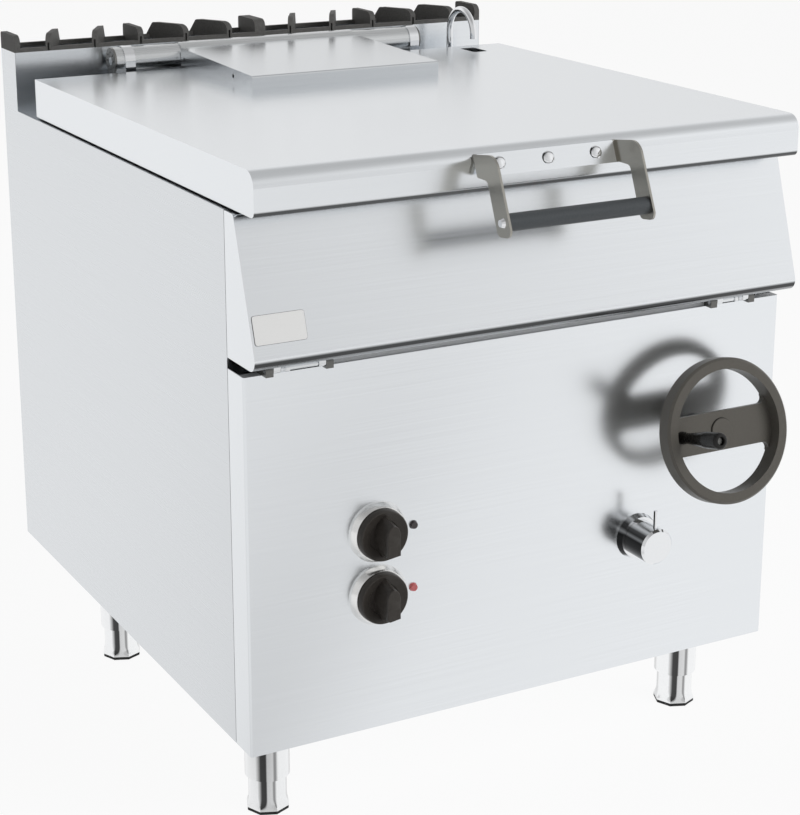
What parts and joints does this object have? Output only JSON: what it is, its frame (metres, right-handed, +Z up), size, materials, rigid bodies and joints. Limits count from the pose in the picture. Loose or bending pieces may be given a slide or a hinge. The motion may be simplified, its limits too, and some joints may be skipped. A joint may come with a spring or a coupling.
{
  "type": "tilting bratt pan",
  "caption": "Free-standing stainless bratt pan with a hinged lid, a handwheel that tilts the pan and a flue at the rear.",
  "frame": {"origin": "on the floor, under the middle of the outline seen from above", "axes": "+X to the operator's right, +Y from the front to the flue, +Z up"},
  "size_m": [0.8, 1.0162, 0.9535],
  "materials": {
    "brushed_panel": "satin",
    "pan_steel": "satin",
    "frame_steel": "matte",
    "bright_steel": "polished",
    "dark_metal": "satin",
    "chrome_fittings": "polished",
    "brass_valve": "satin",
    "wheel_plastic": "satin",
    "knob_plastic": "satin",
    "bezel_print": "satin",
    "lamp_lens": "gloss",
    "switch_plastic": "matte",
    "heater_sheath": "matte",
    "cast_grate": "matte",
    "buffer_rubber": "matte"
  },
  "bodies": {
    "cabinet": {"back_panel": "brushed_panel", "bottom_panel": "brushed_panel", "cable_gland": "switch_plastic", "corner_posts": "frame_steel", "flue_duct": "brushed_panel", "flue_grille_left": "cast_grate", "flue_grille_right": "cast_grate", "front_control_panel": "brushed_panel", "front_rail": "frame_steel", "heating_lamp": "lamp_lens", "jack_bracket": "frame_steel", "knob_bezels": "bezel_print", "left_side_panel": "brushed_panel", "leg_tubes": "bright_steel", "pan_rest_rail": "frame_steel", "panel_plug": "knob_plastic", "panel_switches": "switch_plastic", "pivot_blocks": "dark_metal", "pivot_pins": "bright_steel", "power_lamp": "knob_plastic", "rest_buffers": "buffer_rubber", "right_side_panel": "brushed_panel", "shaft_bearing": "dark_metal", "supply_pipe": "brass_valve", "tap_rose": "chrome_fittings", "tap_valve": "brass_valve", "terminals_and_contactor": "switch_plastic"},
    "pan": {"pan_tub": "pan_steel", "pan_deck": "pan_steel", "pan_fascia": "brushed_panel", "heating_elements": "heater_sheath", "heater_tray": "frame_steel", "pivot_lugs": "bright_steel", "jack_clevis": "frame_steel", "hinge_saddles": "bright_steel", "hinge_tube": "bright_steel", "hinge_caps": "bright_steel", "torsion_bar": "bright_steel", "water_spout": "chrome_fittings"},
    "lid": {"lid_shell": "brushed_panel", "hinge_box": "brushed_panel", "hinge_knuckles": "bright_steel", "handle_bracket": "bright_steel", "handle_grip": "knob_plastic", "handle_fasteners": "bright_steel"},
    "wheel": {"handwheel": "wheel_plastic", "wheel_shaft": "bright_steel", "hub_cap": "chrome_fittings", "grip_spindle": "bright_steel"},
    "crank_grip": {"wheel_grip": "wheel_plastic"},
    "jack": {"jack_housing": "dark_metal"},
    "lifting_screw": {"jack_screw": "bright_steel"},
    "lifting_tube": {"push_tube": "bright_steel"},
    "selector": {"selector_knob": "knob_plastic"},
    "temperature_dial": {"thermostat_knob": "knob_plastic"},
    "tap": {"tap_knob": "chrome_fittings"},
    "foot_front_left": {"front_left_foot": "bright_steel"},
    "foot_front_right": {"front_right_foot": "bright_steel"},
    "foot_rear_left": {"rear_left_foot": "bright_steel"},
    "foot_rear_right": {"rear_right_foot": "bright_steel"}
  },
  "joints": [
    {"name": "pan_tilt", "type": "hinge", "parent": "cabinet", "child": "pan", "pos_m": [0, -0.36786, 0.6425], "axis": [1, 0, 0], "range_deg": [0, 85]},
    {"name": "lid_open", "type": "hinge", "parent": "pan", "child": "lid", "pos_m": [0, 0.41514, 0.8995], "axis": [-1, 0, 0], "range_deg": [0, 50]},
    {"name": "handwheel_turn", "type": "hinge", "parent": "cabinet", "child": "wheel", "pos_m": [0.265, -0.35986, 0.4647], "axis": [0, 0.9699, -0.2436], "range_deg": [0, 4080]},
    {"name": "crank_grip_turn", "type": "hinge", "parent": "wheel", "child": "crank_grip", "pos_m": [0.2, -0.35986, 0.4647], "axis": [0, -0.9699, 0.2436], "continuous": true},
    {"name": "jack_swing", "type": "hinge", "parent": "cabinet", "child": "jack", "pos_m": [0.265, -0.33986, 0.45968], "axis": [1, 0, 0], "range_deg": [0, 42.5]},
    {"name": "lifting_screw_turn", "type": "hinge", "parent": "jack", "child": "lifting_screw", "pos_m": [0.265, -0.33986, 0.45968], "axis": [0, 0.7329, 0.6803], "range_deg": [0, 4080]},
    {"name": "lifting_tube_swing", "type": "hinge", "parent": "pan", "child": "lifting_tube", "pos_m": [0.265, -0.18762, 0.601], "axis": [1, 0, 0], "range_deg": [-42.5, 0]},
    {"name": "selector_turn", "type": "hinge", "parent": "cabinet", "child": "selector", "pos_m": [-0.2195, -0.35986, 0.406], "axis": [0, 1, 0], "range_deg": [0, 90]},
    {"name": "thermostat_turn", "type": "hinge", "parent": "cabinet", "child": "temperature_dial", "pos_m": [-0.2195, -0.35986, 0.3205], "axis": [0, 1, 0], "range_deg": [0, 300]},
    {"name": "tap_turn", "type": "hinge", "parent": "cabinet", "child": "tap", "pos_m": [0.178, -0.35986, 0.325], "axis": [0, 1, 0], "range_deg": [0, 90]},
    {"name": "foot_front_left_turn", "type": "hinge", "parent": "cabinet", "child": "foot_front_left", "pos_m": [-0.331, -0.25586, 0], "axis": [0, 0, 1], "continuous": true},
    {"name": "foot_front_right_turn", "type": "hinge", "parent": "cabinet", "child": "foot_front_right", "pos_m": [0.331, -0.25586, 0], "axis": [0, 0, 1], "continuous": true},
    {"name": "foot_rear_left_turn", "type": "hinge", "parent": "cabinet", "child": "foot_rear_left", "pos_m": [-0.331, 0.28014, 0], "axis": [0, 0, 1], "continuous": true},
    {"name": "foot_rear_right_turn", "type": "hinge", "parent": "cabinet", "child": "foot_rear_right", "pos_m": [0.331, 0.28014, 0], "axis": [0, 0, 1], "continuous": true}
  ],
  "couplings": [
    {"joint": "handwheel_turn", "follows": "pan_tilt", "ratio": 48},
    {"joint": "jack_swing", "follows": "pan_tilt", "ratio": 0.5},
    {"joint": "lifting_tube_swing", "follows": "pan_tilt", "ratio": -0.5},
    {"joint": "lifting_screw_turn", "follows": "pan_tilt", "ratio": 48}
  ]
}
